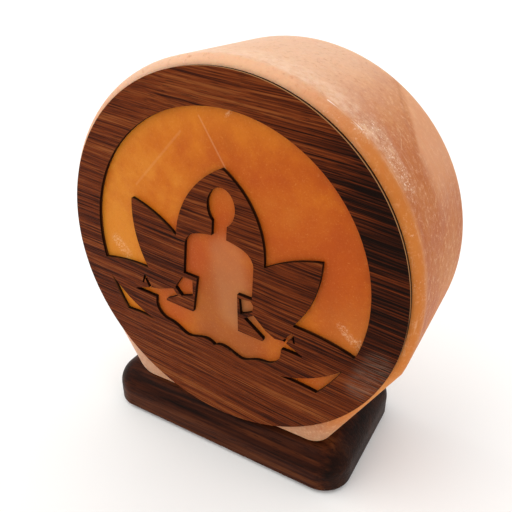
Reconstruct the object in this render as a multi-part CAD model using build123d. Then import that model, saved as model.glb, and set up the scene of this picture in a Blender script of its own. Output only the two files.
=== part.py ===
from build123d import *
import os
from math import acos, atan2, cos, hypot, radians, sin, sqrt

os.makedirs("parts", exist_ok=True)

# A salt crystal lamp. A round block of rock salt with a straight-sided foot stands on a hardwood
# base, and a laser-cut hardwood plate is glued to its front: a ring, a lotus, and a seated figure
# cut out as a stencil. A small screw-cap bulb sits in a clip-in holder that is pushed up from
# below, through the base and into a blind bore in the salt.
#
# Frame: millimetres, +Z up, front towards -Y. The origin is on the floor, under the axis of the bulb
# and the middle of the block.

# ---------------------------------------------------------------- driving dimensions, mm
base_width = 143.0
base_depth = 81.0
base_thickness = 23.5
base_offset = -6.0          # the board's middle stands this far from the bulb's axis, along X
base_corner = 14.8          # corner radius in plan
base_round = 13.5           # round-over of the top edge
base_bottom_edge = 1.0      # small bevel where it would touch the table
base_hole = 42.0            # the bulb holder is pushed in through this
recess_diameter = 58.0      # underside recess that takes the holder's flange
recess_depth = 8.0
groove_width = 9.0          # cord way from the recess to the back edge
groove_depth = 7.0

pad_diameter = 16.0
pad_thickness = 2.0
pad_sink = 0.5              # how far each rubber foot sits in the wood
pad_inset = 15.0            # from the base's sides to a foot's centre
pad_edge = 0.4

salt_border = 4.0           # salt that shows round the plate
salt_depth = 73.0
foot_width = 107.0          # width of the block where it stands, before its corners are rounded
salt_corner_round = 12.0    # the two corners of the foot, seen from the front
salt_front_round = 4.0
salt_back_round = 9.0
salt_foot_round = 6.0       # edges round the foot, down its sides and along its underside
foot_shift = -1.6           # the saw cuts that shape the foot stand this far from the crown's middle
bore_diameter = 50.0        # blind bore for the bulb
bore_depth = 84.0
bore_end_round = 14.0

plate_radius = 85.0
plate_thickness = 2.0
plate_clearance = 0.3       # between the plate's lowest point and the level of the seat
ring_width = 14.9
motif_tilt = -4.7           # degrees: the plate is glued on slightly turned
motif_drawn_radius = 70.1   # the motif's points below are drawn for a ring of this inner radius
motif_shift = -0.6          # the motif's axis stands this far left of the plate's centre

screw_spacing = 78.0        # the two screws that hold the salt to its base
screw_diameter = 4.0
screw_length = 40.0
screw_head_diameter = 8.0
screw_head_height = 3.0
screw_slot = 1.2
screw_slot_depth = 1.4
screw_slot_share = 0.6      # length of a screw's slot, as a share of its head's diameter
screw_rim_share = 0.3       # bevel of a screw head's rim, as a share of its height
counterbore_depth = 6.0
counterbore_margin = 1.0
anchor_diameter = 8.0
anchor_length = 28.0
anchor_slit = 1.0

holder_diameter = 27.0
holder_height = 36.0
holder_top_round = 1.5
chamber_diameter = 19.0     # room for the terminals, open below
chamber_height = 11.0
web_thickness = 2.5         # floor between the terminals and the socket
mouth_diameter = 19.0       # wider mouth above the brass shell
mouth_depth = 3.0
shell_inner = 14.4          # brass screw shell, inside diameter
shell_thickness = 0.4
shell_gap_width = 10.0      # the shell stands on two feet, with a gap at the front and at the back
shell_gap_height = 0.5
contact_width = 5.0
contact_length = 10.0
contact_thickness = 0.4
contact_rise = 2.0          # height of the springy middle above the web

flange_diameter = 54.0
flange_thickness = 0.8
bushing_bore = 6.4
bushing_wall = 1.7
bushing_collar = 1.6        # how far the collar stands out round the bushing
bushing_collar_height = 1.3
bushing_top = 1.5           # height above the flange
bushing_edge = 0.5
bracket_screw_diameter = 2.2
bracket_screw_length = 8.0
bracket_screw_head = 4.0
bracket_screw_head_height = 1.5

terminal_spacing = 11.0
terminal_width = 5.0
terminal_depth = 6.0
terminal_height = 7.0
terminal_wire_hole = 2.2
terminal_screw_diameter = 2.5
terminal_screw_length = 4.0
terminal_screw_head = 4.0
terminal_screw_head_height = 1.2

clip_thickness = 0.5
clip_width = 10.0
clip_stand_off = 2.6        # from the holder's side to the clip
clip_rise = 3.0             # straight part above the flange
clip_apex = 8.0             # height above the flange where the clip is widest
clip_height = 15.0
clip_curl = 1.8             # how far the tip turns in again
clip_toe = 2.2              # hooked toe below the flange
clip_bend = 1.0             # bend radius of the strip's middle, but tighter at the toe
slot_play = 0.35            # room round the clip in its slot
clip_gap = 0.1              # between the clip's corners and the wall of the hole

bulb_length = 57.0
bulb_diameter = 25.0
glass_thickness = 0.7
cap_diameter = 13.6         # screw cap, over the thread
cap_length = 20.0
cap_thickness = 0.3
cap_bevel = 0.6             # at the cap's lower rim
cap_foot_height = 4.0       # black glass insulator below the cap
cap_foot_diameter = 6.4
foot_contact_diameter = 4.6
foot_contact_height = 1.2
foot_contact_edge = 0.7
neck_depth = 6.7            # how far the glass goes down inside the cap
bulb_shoulder = 9.0         # from the cap's rim to the widest part
stem_diameter = 5.0
stem_height = 9.0           # above the cap's rim
wire_diameter = 0.6
wire_spread = 8.0           # between the tops of the two lead-in wires
wire_height = 9.0
filament_diameter = 0.4
filament_rise = 2.5

fit_gap = 0.05              # radial play of pieces that are pressed or glued together
touch_gap = 0.05            # between the bulb's foot and the spring that it presses on
cut_over = 1.0              # how far a cutting tool runs past a face
round_share = 0.9           # most of the room at an edge that a rounding or a bevel may take

# ---------------------------------------------------------------- levels and places
base_bottom = pad_thickness - pad_sink
seat = base_bottom + base_thickness
recess_top = base_bottom + recess_depth
flange_bottom = recess_top - flange_thickness
centre_height = seat + plate_clearance + plate_radius
salt_radius = plate_radius + salt_border
ring_inner = plate_radius - ring_width

holder_bottom = recess_top
web_bottom = holder_bottom + chamber_height
web_top = web_bottom + web_thickness
holder_top = holder_bottom + holder_height
shell_outer = shell_inner + 2 * shell_thickness
shell_top = holder_top - mouth_depth
contact_top = web_top + contact_rise

bulb_bottom = contact_top + touch_gap
bulb_foot_top = bulb_bottom + foot_contact_height
cap_bottom = bulb_foot_top + cap_foot_height
cap_top = cap_bottom + cap_length
stem_top = cap_top + stem_height
bulb_top = bulb_bottom + bulb_length


on_floor = (Align.CENTER, Align.CENTER, Align.MIN)
from_ceiling = (Align.CENTER, Align.CENTER, Align.MAX)


def at_each(points, shape):
    """The same shape at every point, as one group of separate solids."""
    return Compound(children=[Pos(*point) * shape for point in points])


def column(diameter, bottom, top):
    """A plain upright cylinder about the lamp's axis."""
    return Pos(0, 0, bottom) * Cylinder(diameter / 2, top - bottom, align=on_floor)


def turned(points):
    """A solid of revolution about Z from (radius, height) points joined by straight lines."""
    return revolve(Plane.XZ * make_face(Polyline(*points, close=True)), Axis.Z)


# ---------------------------------------------------------------- places shared by several pieces
screw_places = [(side * screw_spacing / 2, 0, 0) for side in (-1, 1)]
pad_places = [
    (base_offset + side_x * (base_width / 2 - pad_inset), side_y * (base_depth / 2 - pad_inset), 0)
    for side_x in (-1, 1)
    for side_y in (-1, 1)
]
bracket_screw_radius = (holder_diameter + chamber_diameter) / 4
bracket_screw_places = [(0, side * bracket_screw_radius, 0) for side in (-1, 1)]
terminal_places = [(side * terminal_spacing / 2, 0, 0) for side in (-1, 1)]
clip_root = holder_diameter / 2 + clip_stand_off
screw_seat = base_bottom + counterbore_depth
screw_top = screw_seat + screw_length


# ---------------------------------------------------------------- base and feet
def base_board():
    """Hardwood board with a large round-over, a stepped hole for the holder and a cord groove."""
    outline = RectangleRounded(base_width, base_depth, base_corner)
    board = Pos(base_offset, 0, base_bottom) * extrude(outline, base_thickness)
    round_over = min(base_round, base_corner - cut_over, base_thickness - cut_over)
    board = fillet(board.edges().group_by(Axis.Z)[-1], round_over)
    board = chamfer(board.edges().group_by(Axis.Z)[0], base_bottom_edge)

    board -= column(base_hole, base_bottom - cut_over, seat + cut_over)
    board -= column(recess_diameter, base_bottom - cut_over, recess_top)
    groove_align = (Align.CENTER, Align.MIN, Align.MIN)
    groove = Box(groove_width, base_depth / 2 + cut_over, groove_depth + cut_over, align=groove_align)
    board -= Pos(0, 0, base_bottom - cut_over) * groove

    through = column(screw_diameter + 2 * fit_gap, base_bottom, seat + cut_over)
    counterbore = column(screw_head_diameter + 2 * counterbore_margin, base_bottom - cut_over, screw_seat)
    for place in screw_places:
        board -= Pos(*place) * (through + counterbore)
    socket = column(pad_diameter + 2 * fit_gap, base_bottom - cut_over, pad_thickness)
    for place in pad_places:
        board -= Pos(*place) * socket
    return board


def foot_pads():
    """Four round rubber feet, let into the underside of the base."""
    pad = column(pad_diameter, 0, pad_thickness)
    pad = chamfer(pad.edges().group_by(Axis.Z)[0], pad_edge)
    return at_each(pad_places, pad)


# ---------------------------------------------------------------- salt block
def foot_flare():
    """Where one side of the foot meets the crown, and how far that side leans out for each mm of height.

    The place is measured from the crown's centre. The side is a tangent to the crown.
    """
    half_foot = foot_width / 2
    to_seat = centre_height - seat
    start = atan2(-to_seat, half_foot) + acos(salt_radius / hypot(half_foot, to_seat))
    touch = (salt_radius * cos(start), salt_radius * sin(start))
    return touch, (touch[0] - half_foot) / (touch[1] + to_seat)


def salt_profile(drop):
    """Front outline of the block: a circle that runs out along two tangents, carried on below the seat."""
    touch, lean = foot_flare()
    low = centre_height - seat + drop
    corner = foot_width / 2 - lean * drop
    crown = ThreePointArc(touch, (0, salt_radius), (-touch[0], touch[1]))
    foot = Polyline((-touch[0], touch[1]), (-corner, -low), (corner, -low), touch)
    return make_face(crown.edges() + foot.edges())


def foot_profile(rise):
    """The foot's outline alone, with its two tangents carried on upwards, and its corners rounded."""
    lean = foot_flare()[1]
    low = seat - centre_height
    half_foot = foot_width / 2
    half_top = half_foot + lean * rise
    outline = make_face(Polyline(
        (-half_foot, low), (half_foot, low), (half_top, low + rise), (-half_top, low + rise), close=True
    ).edges())
    return fillet(outline.vertices().group_by(Axis.Y)[0], salt_corner_round)


def salt_slab(profile, front_round, back_round):
    """An outline as deep as the block, with its front and back edges rounded."""
    slab = extrude(Plane.XZ.offset(-salt_depth / 2) * Pos(0, centre_height) * profile, salt_depth)
    slab = fillet(slab.faces().sort_by(Axis.Y)[0].edges(), front_round)
    return fillet(slab.faces().sort_by(Axis.Y)[-1].edges(), back_round)


def salt_block():
    """Rock salt with a round crown, a sawn foot and a blind bore.

    The foot's edges have a wider round than the crown's, so the block is shaped too long and then cut
    off by a slab that has the foot's outline.
    """
    block = salt_slab(salt_profile(salt_back_round + salt_front_round), salt_front_round, salt_back_round)
    block &= Pos(foot_shift, 0) * salt_slab(foot_profile(3 * salt_radius), salt_foot_round, salt_foot_round)

    bore = column(bore_diameter, seat - cut_over, seat + bore_depth)
    block -= fillet(bore.edges().group_by(Axis.Z)[-1], min(bore_end_round, round_share * bore_diameter / 2))
    for place in screw_places:
        block -= Pos(*place) * column(
            anchor_diameter + 2 * fit_gap, seat - cut_over, seat + anchor_length + cut_over
        )
    return block


# ---------------------------------------------------------------- fretwork plate
# The motif is drawn upright about its own axis, x to the right and y up from the ring's centre.
petal_tip = (0, 46)
petal_side = (16.7, 30)
petal_foot = (22.9, 7.6)            # also the notch where a side petal starts
side_petal_top = (35.6, 15.3)
side_petal_tip = (48.3, 19.4)
side_petal_belly = (46.6, 1.0)
side_petal_foot = (39.3, -15.3)
water_inner = (36, -15.7)           # top edge of the low outer petals
water_middle = (54, -16.2)
water_outer = (72, -20.3)
crescent_tip = (64.2, -27.7)
crescent_inner = (52, -37.9)
crescent_tail = (35.5, -45.1)
crescent_under = (45, -44.9)
crescent_corner = (54.4, -45.5)
crescent_outer = (59.2, -38)

head_centre = (0.3, 28.8)
head_size = (7.0, 9.0)              # half width and half height
neck_half_width = 3.8
shoulder_top = (4.4, 14.5)
shoulder_slope = (9.4, 13.6)
shoulder_turn = (14.9, 11.2)
shoulder_side = (18.0, 6.0)
arm_side = 18.5
arm_bottom = -10.3
waist_top = 10.9                    # half width below the arms
waist_bottom = 12.6
lap_top = -29.8
lap_side = (35.1, -33.5)
lap_corner = (32.4, -39.2)
lap_under = (27, -41.4)
lap_knee = (20.5, -43.5)
foot_low = (16.5, -45.3)
foot_high = (8, -43.3)
foot_middle = (0, -44.4)

# The two arms rest differently, so each has its own points, both given for the right-hand side.
left_elbow = [(19.4, -12.6), (13.4, -12.6), (13.0, -20.8), (19.6, -23.6), (23.4, -20.0)]
right_elbow = [(11.9, -12.0), (17.9, -11.2), (19.4, -13.0), (19.2, -16.6), (13.2, -20.2)]
left_forearm = [(24.6, -21.4), (21.7, -24.4), (28.6, -28.9)]
left_wrist = [(38.0, -26.0), (33.0, -24.9), (26.9, -22.2)]
left_hand = (38.0, -26.0)
right_forearm = [(19.9, -18.0), (15.1, -21.6), (25.7, -28.4)]
right_wrist = [(35.8, -25.0), (31.4, -25.7), (26.6, -23.5)]
right_hand = (35.8, -25.0)
finger_reach = (9.6, -3.9)          # from a hand's point to the tip of its long fingers
finger_end = 0.5                    # width of the cut at that tip
thumb_hook = [(-0.5, 0.3), (3.4, 5.7), (4.4, 5.7), (5.6, 1.0), (4.7, 0.9), (3.8, 3.6), (1.3, -0.6)]


def closed(*runs):
    """One face inside lines and arcs that are laid end to end."""
    return make_face([edge for run in runs for edge in run.edges()])


def both_sides(shape):
    """The shape and its mirror image across the motif's axis."""
    return shape + mirror(shape, about=Plane.YZ)


def lotus():
    """All the wood inside the ring: three upright petals and the low ones that close the bottom."""
    tip_x, tip_y = petal_tip
    centre_half = closed(
        ThreePointArc(petal_tip, petal_side, petal_foot),
        Polyline(petal_foot, (petal_foot[0], water_inner[1]), (tip_x, water_inner[1]), petal_tip),
    )
    side = closed(
        ThreePointArc(petal_foot, side_petal_top, side_petal_tip),
        ThreePointArc(side_petal_tip, side_petal_belly, side_petal_foot),
        Polyline(
            side_petal_foot, (side_petal_foot[0], water_outer[1]), (petal_foot[0], water_outer[1]), petal_foot
        ),
    )
    low = closed(
        ThreePointArc(water_inner, water_middle, water_outer),
        Polyline(
            water_outer, (water_outer[0], -2 * tip_y), (0, -2 * tip_y), (0, water_inner[1]), water_inner,
        ),
    )
    return both_sides(centre_half + side + low)


def crescent():
    """Gap below one of the low petals: three long arcs that meet at two tips and a corner."""
    return closed(
        ThreePointArc(crescent_tip, crescent_inner, crescent_tail),
        ThreePointArc(crescent_tail, crescent_under, crescent_corner),
        ThreePointArc(crescent_corner, crescent_outer, crescent_tip),
    )


def head_and_arms():
    """Upper half of the seated figure: head, neck, shoulders and upper arms, and the waist below."""
    head = Pos(*head_centre) * Ellipse(*head_size)
    neck = Pos(0, (head_centre[1] + shoulder_slope[1]) / 2)
    neck *= Rectangle(2 * neck_half_width, head_centre[1] - shoulder_slope[1])
    half_bust = closed(
        Polyline((0, shoulder_top[1]), shoulder_top),
        Spline(shoulder_top, shoulder_slope, shoulder_turn, shoulder_side),
        Polyline(
            shoulder_side, (arm_side, arm_bottom), (0, arm_bottom), (0, shoulder_top[1]),
        ),
    )
    half_waist = closed(
        Polyline(
            (0, arm_bottom), (waist_top, arm_bottom), (waist_bottom, lap_top), (0, lap_top), close=True,
        )
    )
    return head + neck + both_sides(half_bust + half_waist)


def lap():
    """Crossed legs: a flat band with round knees and a wavy lower edge."""
    half = closed(
        Polyline((0, foot_middle[1]), (0, lap_top), (lap_side[0], lap_top), lap_side),
        ThreePointArc(lap_side, lap_corner, lap_under),
        Spline(lap_under, lap_knee, foot_low, foot_high, foot_middle),
    )
    return both_sides(half)


def hand(forearm, wrist, palm):
    """One forearm with its hand: a blunt inner end, a tapering slit for the fingers and a thumb."""
    palm_x, palm_y = palm
    tip = (palm_x + finger_reach[0], palm_y + finger_reach[1])
    arm = closed(
        Polyline(
            *forearm, (forearm[2][0], lap_top - finger_end), (tip[0], tip[1] - finger_end), tip,
            *wrist, close=True,
        )
    )
    thumb = closed(Polyline(*[(palm_x + x, palm_y + y) for x, y in thumb_hook], close=True))
    return arm + thumb


def figure():
    """The whole stencil of the seated figure, with bridges of wood left at the elbows."""
    right = hand(right_forearm, right_wrist, right_hand) + closed(Polyline(*right_elbow, close=True))
    left = hand(left_forearm, left_wrist, left_hand) + closed(Polyline(*left_elbow, close=True))
    return head_and_arms() + lap() + right + mirror(left, about=Plane.YZ)


def fretwork_plate():
    """Disc of hardwood, sawn right through: the sky round the lotus, the figure and two crescents."""
    to_plate = Rot(0, 0, motif_tilt) * Pos(motif_shift, 0)
    motif_scale = ring_inner / motif_drawn_radius
    sky = Circle(ring_inner) - to_plate * scale(lotus(), by=motif_scale)
    cuts = to_plate * scale(figure() + both_sides(crescent()), by=motif_scale)
    disc = Circle(plate_radius) - sky - cuts
    return extrude(Plane.XZ.offset(salt_depth / 2) * Pos(0, centre_height) * disc, plate_thickness)


# ---------------------------------------------------------------- screws and anchors
def slotted_head(diameter, height, slot_depth):
    """Round screw head, seen from below, with a cross slot; its top face is at height zero."""
    head = Cylinder(diameter / 2, height, align=from_ceiling)
    head = chamfer(head.edges().group_by(Axis.Z)[0], screw_rim_share * height)
    slot = Box(screw_slot_share * diameter, screw_slot, slot_depth, align=on_floor)
    slot += Rot(0, 0, 90) * slot
    return head - Pos(0, 0, -height) * slot


def base_screws():
    """Two wood screws, up through the base into the anchors in the salt."""
    point = screw_diameter
    shank = turned([
        (0, screw_seat), (screw_diameter / 2, screw_seat),
        (screw_diameter / 2, screw_top - point), (0, screw_top),
    ])
    head = Pos(0, 0, screw_seat) * slotted_head(screw_head_diameter, screw_head_height, screw_slot_depth)
    return at_each(screw_places, head + shank)


def screw_anchors():
    """Two plastic wall plugs set in the salt, slit lengthways so that the screws spread them."""
    plug = column(anchor_diameter, seat, seat + anchor_length)
    plug = chamfer(plug.edges().group_by(Axis.Z)[-1], anchor_diameter / 8)
    plug -= column(screw_diameter + 2 * fit_gap, seat - cut_over, seat + anchor_length + cut_over)
    slit = Box(anchor_slit, 2 * anchor_diameter, anchor_length, align=on_floor)
    plug -= Pos(0, 0, seat + anchor_length / 4) * slit
    return at_each(screw_places, plug)


# ---------------------------------------------------------------- bulb holder
def holder_body():
    """Black phenolic cup: socket above, terminal chamber below, a web between them."""
    body = column(holder_diameter, holder_bottom, holder_top)
    body = fillet(body.edges().group_by(Axis.Z)[-1], holder_top_round)
    body -= column(chamber_diameter, holder_bottom - cut_over, web_bottom)
    body -= column(shell_outer + 2 * fit_gap, web_top, holder_top)
    body -= column(mouth_diameter, shell_top, holder_top + cut_over)
    hole = column(bracket_screw_diameter + 2 * fit_gap, holder_bottom - cut_over,
                  flange_bottom + bracket_screw_length + cut_over)
    for place in bracket_screw_places:
        body -= Pos(*place) * hole
    return body


def holder_shell():
    """Thin brass tube that the cap screws into, standing on two feet on the web."""
    shell = column(shell_outer, web_top, shell_top)
    shell -= column(shell_inner, web_top - cut_over, shell_top + cut_over)
    gaps = Box(shell_gap_width, 2 * shell_outer, shell_gap_height, align=on_floor)
    return shell - Pos(0, 0, web_top) * gaps


def strip(points, bend, width, thickness):
    """A bent strip of sheet metal: its middle line in XZ, its width along Y."""
    middle = Plane.XZ * FilletPolyline(*points, radius=bend)
    section = Plane(middle @ 0, z_dir=middle % 0, x_dir=(0, 1, 0)) * Rectangle(width, thickness)
    return sweep(section, path=middle)


def centre_contact():
    """Springy brass bridge on the web, under the foot of the bulb."""
    half = contact_length / 2
    low = web_top + contact_thickness / 2
    high = contact_top - contact_thickness / 2
    points = [
        (-half, low), (-half / 2, low), (-half / 5, high), (half / 5, high), (half / 2, low), (half, low)
    ]
    return strip(points, contact_thickness, contact_width, contact_thickness)


def clip_bracket():
    """Stainless flange under the base, with a hole for the bushing and slots for the two clips."""
    flange = column(flange_diameter, flange_bottom, recess_top)
    below, above = flange_bottom - cut_over, recess_top + cut_over
    flange -= column(bushing_bore + 2 * bushing_wall + 2 * fit_gap, below, above)
    for place in bracket_screw_places:
        flange -= Pos(*place) * column(bracket_screw_diameter + 2 * fit_gap, below, above)
    slot = Box(clip_thickness + 2 * slot_play, clip_width + 2 * slot_play, 4 * flange_thickness)
    for side in (-1, 1):
        flange -= Pos(side * clip_root, 0, recess_top) * slot
    return flange


def spring_clip(side):
    """Leaf spring hooked in its slot; its corners bear on the wall of the hole in the base."""
    hole_radius = base_hole / 2
    reach = sqrt(hole_radius ** 2 - (clip_width / 2) ** 2) - clip_gap - clip_thickness / 2
    toe_level = flange_bottom - clip_thickness / 2 - fit_gap
    points = [
        (clip_root - clip_toe, toe_level),
        (clip_root, toe_level),
        (clip_root, recess_top + clip_rise),
        (reach, recess_top + clip_apex),
        (reach - clip_curl, recess_top + clip_height),
    ]
    toe_bend = flange_bottom - toe_level
    leaf = strip(points, [toe_bend, clip_bend, clip_bend], clip_width, clip_thickness)
    return leaf if side > 0 else Rot(0, 0, 180) * leaf


def cord_bushing():
    """Plastic grommet in the middle of the flange, where the cord would enter."""
    tube_diameter = bushing_bore + 2 * bushing_wall
    bushing = column(tube_diameter, flange_bottom - bushing_collar_height, recess_top + bushing_top)
    collar = column(tube_diameter + 2 * bushing_collar, flange_bottom - bushing_collar_height, flange_bottom)
    collar_bevel = min(bushing_edge, round_share * bushing_collar_height)
    bushing += chamfer(collar.edges().group_by(Axis.Z)[0], collar_bevel)
    return bushing - column(bushing_bore, base_bottom, web_bottom)


def bracket_screws():
    """Two small screws that fix the flange to the holder."""
    shank = column(bracket_screw_diameter, flange_bottom, flange_bottom + bracket_screw_length)
    head = slotted_head(bracket_screw_head, bracket_screw_head_height, bracket_screw_head_height / 2)
    return at_each(bracket_screw_places, Pos(0, 0, flange_bottom) * head + shank)


def terminal_blocks():
    """Two brass blocks under the web, each with a cross hole for a wire."""
    block = Box(terminal_width, terminal_depth, terminal_height, align=from_ceiling)
    block = Pos(0, 0, web_bottom) * block
    wire_level = web_bottom - terminal_height / 2
    block -= Pos(0, 0, wire_level) * Rot(90, 0, 0) * Cylinder(terminal_wire_hole / 2, 2 * terminal_depth)
    block -= column(
        terminal_screw_diameter + 2 * fit_gap, web_bottom - terminal_height - cut_over,
        web_bottom - terminal_height + terminal_screw_length,
    )
    return at_each(terminal_places, block)


def terminal_screws():
    """One small screw in each block, from below."""
    face = web_bottom - terminal_height
    shank = column(terminal_screw_diameter, face, face + terminal_screw_length - fit_gap)
    head = slotted_head(terminal_screw_head, terminal_screw_head_height, terminal_screw_head_height / 2)
    return at_each(terminal_places, Pos(0, 0, face) * head + shank)


# ---------------------------------------------------------------- bulb
def foot_contact():
    """Solder button in the middle of the bulb's foot."""
    button = column(foot_contact_diameter, bulb_bottom, bulb_foot_top)
    button_bevel = min(foot_contact_edge, round_share * foot_contact_height)
    return chamfer(button.edges().group_by(Axis.Z)[0], button_bevel)


def cap_insulator():
    """Black glass cone between the button and the screw cap."""
    inside = cap_diameter / 2 - cap_thickness
    return turned([
        (0, bulb_foot_top), (cap_foot_diameter / 2, bulb_foot_top),
        (inside - fit_gap, cap_bottom), (0, cap_bottom),
    ])


def bulb_cap():
    """Thin brass screw cap, open at the top, where the glass is cemented in."""
    cap = column(cap_diameter, cap_bottom, cap_top)
    cap = chamfer(cap.edges().group_by(Axis.Z)[0], cap_bevel)
    hollow = column(cap_diameter - 2 * cap_thickness, cap_bottom + cap_thickness, cap_top + cut_over)
    return cap - chamfer(hollow.edges().group_by(Axis.Z)[0], cap_bevel)


def bulb_profile(inset):
    """Half outline of the glass from its neck to its top, drawn in by a wall's thickness."""
    neck = cap_diameter / 2 - cap_thickness - fit_gap - inset
    belly = bulb_diameter / 2 - inset
    neck_bottom = cap_top - neck_depth
    widest = cap_top + bulb_shoulder
    top = bulb_top - inset
    middle = ((neck + belly) / 2, (cap_top + widest) / 2)
    lower_shoulder = TangentArc((neck, cap_top), middle, tangent=(0, 1))
    upper_shoulder = TangentArc((belly, widest), middle, tangent=(0, -1))
    side = Line((belly, widest), (belly, top - belly))
    dome = ThreePointArc(
        (belly, top - belly), (belly * sin(radians(45)), top - belly + belly * cos(radians(45))), (0, top)
    )
    base = Polyline((0, top), (0, neck_bottom), (neck, neck_bottom), (neck, cap_top))
    return closed(lower_shoulder, upper_shoulder, side, dome, base)


def bulb_glass():
    """Blown glass envelope: a straight tube with a round end, drawn in to the neck."""
    outer = revolve(Plane.XZ * bulb_profile(0), Axis.Z)
    inner = revolve(Plane.XZ * bulb_profile(glass_thickness), Axis.Z)
    return outer - inner


def glass_stem():
    """Glass stem that carries the wires, flared where it is melted to the neck."""
    neck = cap_diameter / 2 - cap_thickness - fit_gap - glass_thickness
    foot = cap_top - neck_depth
    radius = stem_diameter / 2
    return turned([
        (0, foot), (neck - fit_gap, foot), (neck - fit_gap, foot + radius / 2), (radius, foot + 2 * radius),
        (radius, stem_top - radius), (radius / 2, stem_top), (0, stem_top),
    ])


def lead_wires():
    """Two wires from the top of the stem, spread apart to hold the filament."""
    wires = []
    start = stem_top + wire_diameter / 4
    for side in (-1, 1):
        path = Line((side * stem_diameter / 8, 0, start), (side * wire_spread / 2, 0, start + wire_height))
        wires.append(sweep(Plane(path @ 0, z_dir=path % 0) * Circle(wire_diameter / 2), path=path))
    return Compound(children=wires)


def filament():
    """Fine coil, drawn as one thin arc between the tops of the wires."""
    level = stem_top + wire_height + filament_diameter / 2
    half = wire_spread / 2
    arc = ThreePointArc((-half, 0, level), (0, 0, level + filament_rise), (half, 0, level))
    return sweep(Plane(arc @ 0, z_dir=arc % 0) * Circle(filament_diameter / 2), path=arc)


pieces = {
    "base_board": base_board(),
    "foot_pads": foot_pads(),
    "salt_block": salt_block(),
    "fretwork_plate": fretwork_plate(),
    "base_screws": base_screws(),
    "screw_anchors": screw_anchors(),
    "holder_body": holder_body(),
    "holder_shell": holder_shell(),
    "centre_contact": centre_contact(),
    "clip_bracket": clip_bracket(),
    "clip_left": spring_clip(-1),
    "clip_right": spring_clip(1),
    "cord_bushing": cord_bushing(),
    "bracket_screws": bracket_screws(),
    "terminal_blocks": terminal_blocks(),
    "terminal_screws": terminal_screws(),
    "foot_contact": foot_contact(),
    "cap_insulator": cap_insulator(),
    "bulb_cap": bulb_cap(),
    "bulb_glass": bulb_glass(),
    "glass_stem": glass_stem(),
    "lead_wires": lead_wires(),
    "filament": filament(),
}

for name, piece in pieces.items():
    export_step(piece, f"parts/{name}.step")
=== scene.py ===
# %% [markdown]
# # A salt crystal lamp with a fretwork front
#
# A block of rock salt stands on a dark hardwood base. A thin hardwood plate, cut by a laser, is glued
# to its front. A small screw-cap bulb sits inside the salt, in a holder that is pushed up from below.
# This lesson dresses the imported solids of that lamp: it gives every piece the surface of the real one,
# and builds the few pieces whose fine form is left out of the solids.
#
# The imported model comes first, because every piece takes its place from it. Places in this lesson are
# in millimetres from the middle of the lamp's underside: X to the right, Y to the back and Z up.

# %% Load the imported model
from math import cos, pi, radians, sin

import bpy
from mathutils import Matrix, Vector


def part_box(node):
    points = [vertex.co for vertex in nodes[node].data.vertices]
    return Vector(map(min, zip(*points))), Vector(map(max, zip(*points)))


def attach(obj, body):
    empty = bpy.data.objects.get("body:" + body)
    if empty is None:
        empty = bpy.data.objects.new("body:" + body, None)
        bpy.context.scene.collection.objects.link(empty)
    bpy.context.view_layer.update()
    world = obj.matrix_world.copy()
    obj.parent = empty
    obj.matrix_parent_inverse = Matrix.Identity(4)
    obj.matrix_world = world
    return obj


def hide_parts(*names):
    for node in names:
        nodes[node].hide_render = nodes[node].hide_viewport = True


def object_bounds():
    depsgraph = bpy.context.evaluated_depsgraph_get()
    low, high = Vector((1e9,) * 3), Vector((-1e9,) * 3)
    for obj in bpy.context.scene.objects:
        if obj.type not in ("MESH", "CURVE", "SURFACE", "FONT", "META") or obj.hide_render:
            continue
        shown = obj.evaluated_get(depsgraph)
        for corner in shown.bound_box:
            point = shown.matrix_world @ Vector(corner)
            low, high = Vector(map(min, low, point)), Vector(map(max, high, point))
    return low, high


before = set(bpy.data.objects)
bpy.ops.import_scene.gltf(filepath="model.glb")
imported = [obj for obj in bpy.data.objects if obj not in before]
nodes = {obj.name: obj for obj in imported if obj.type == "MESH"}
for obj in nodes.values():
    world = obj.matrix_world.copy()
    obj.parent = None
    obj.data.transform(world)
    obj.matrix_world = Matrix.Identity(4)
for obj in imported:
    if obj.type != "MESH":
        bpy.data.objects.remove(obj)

cad_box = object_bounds()
print("pieces in the packed model:", len(nodes))

# %% [markdown]
# ## Two small tools
#
# Colours are picked on a screen, so they are written as sRGB hex values. Shaders count in linear
# light, so one function turns a hex value into linear numbers.
#
# Every finish is a graph of shader nodes. They could be set up by hand in the shader editor, or with
# several lines of code for each. Here one function adds a node with its settings and its links and
# hands back one of its outputs, so that a whole recipe reads from top to bottom.

# %% Colour and node tools
def linear(hex_colour):
    """Turns an sRGB hex colour such as '#A0522D' into linear RGBA."""
    channels = [int(hex_colour[i:i + 2], 16) / 255 for i in (1, 3, 5)]
    return tuple(c / 12.92 if c <= 0.04045 else ((c + 0.055) / 1.055) ** 2.4 for c in channels) + (1.0,)


def add_node(tree, kind, inputs, out=0, stops=(), **settings):
    """Adds one node and gives back one of its outputs.

    Each input is a number, a vector, a hex colour or another node's output. A ramp takes its stops.
    """
    node = tree.nodes.new("ShaderNode" + kind)
    for name, value in settings.items():
        setattr(node, name, value)
    for name, value in (inputs.items() if isinstance(inputs, dict) else enumerate(inputs)):
        if isinstance(value, bpy.types.NodeSocket):
            tree.links.new(value, node.inputs[name])
        else:
            node.inputs[name].default_value = linear(value) if isinstance(value, str) else value
    for number, (position, colour) in enumerate(stops):
        mark = node.color_ramp.elements[number] if number < 2 else node.color_ramp.elements.new(position)
        mark.position = position
        mark.color = linear(colour)
    return node.outputs[out] if len(node.outputs) else node


print("the middle grey #808080 is", round(linear("#808080")[0], 3), "in linear light")

# %% [markdown]
# ## How a recipe starts and ends
#
# A pattern needs to know where it is on a piece. A UV map would have to be unwrapped for each piece
# and would stretch at its corners. The piece's own coordinates need nothing, keep a pattern at its real
# size and carry it along when the piece moves, so every recipe starts from them. Every recipe ends in
# one surface shader, with its relief as bump.

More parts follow.
